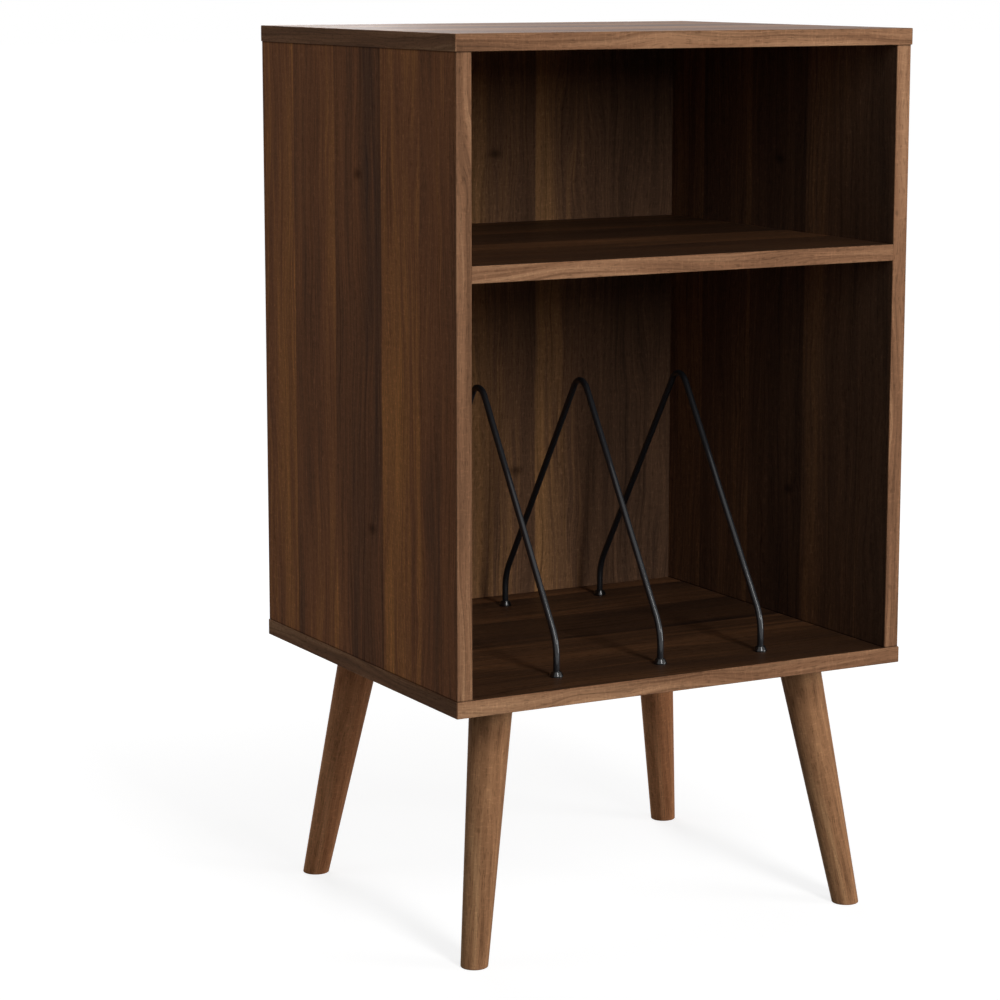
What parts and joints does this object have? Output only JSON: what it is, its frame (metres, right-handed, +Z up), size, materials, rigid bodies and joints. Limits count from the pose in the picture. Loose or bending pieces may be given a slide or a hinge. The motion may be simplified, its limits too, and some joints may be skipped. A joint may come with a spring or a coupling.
{
  "type": "turntable stand",
  "caption": "Open-fronted walnut-look cabinet on splayed tapered legs: a shelf compartment over a record bay with lift-out bent-wire dividers, and a flat top for a turntable.",
  "frame": {"origin": "on the floor, in the middle of the footprint", "axes": "+Z up, +X to the right seen from the open front, which faces -Y"},
  "size_m": [0.47, 0.396, 0.828],
  "materials": {
    "walnut_laminate": "satin walnut laminate on particle board",
    "walnut_edging": "satin walnut edge strip",
    "walnut_solid": "oiled, turned hardwood in a walnut stain",
    "beech": "raw turned beech",
    "black_wire": "satin black powder coat",
    "black_bush": "glossy black moulding",
    "zinc_steel": "zinc-plated steel",
    "black_steel": "matt black coated steel"
  },
  "bodies": {
    "cabinet": {"top_panel": "walnut_laminate", "base_panel": "walnut_laminate", "left_side_panel": "walnut_laminate", "right_side_panel": "walnut_laminate", "shelf": "walnut_laminate", "back_panel": "walnut_laminate", "top_edging": "walnut_edging", "base_edging": "walnut_edging", "left_side_edging": "walnut_edging", "right_side_edging": "walnut_edging", "shelf_edging": "walnut_edging", "top_dowels": "beech", "base_dowels": "beech", "shelf_dowels": "beech", "base_screws": "zinc_steel", "shelf_cams": "zinc_steel", "shelf_cam_bolts": "zinc_steel", "leg_plate_screws": "zinc_steel", "leg_screws": "zinc_steel", "divider_bushes": "black_bush", "front_left_leg": "walnut_solid", "front_left_leg_plate": "black_steel", "front_right_leg": "walnut_solid", "front_right_leg_plate": "black_steel", "rear_left_leg": "walnut_solid", "rear_left_leg_plate": "black_steel", "rear_right_leg": "walnut_solid", "rear_right_leg_plate": "black_steel"},
    "left_divider": {"left_divider": "black_wire"},
    "middle_divider": {"middle_divider": "black_wire"},
    "right_divider": {"right_divider": "black_wire"}
  },
  "joints": [
    {"name": "left_divider_lift", "type": "slide", "parent": "cabinet", "child": "left_divider", "axis": [0, 0, 1], "range_m": [0, 0.114]},
    {"name": "middle_divider_lift", "type": "slide", "parent": "cabinet", "child": "middle_divider", "axis": [0, 0, 1], "range_m": [0, 0.114]},
    {"name": "right_divider_lift", "type": "slide", "parent": "cabinet", "child": "right_divider", "axis": [0, 0, 1], "range_m": [0, 0.114]}
  ]
}
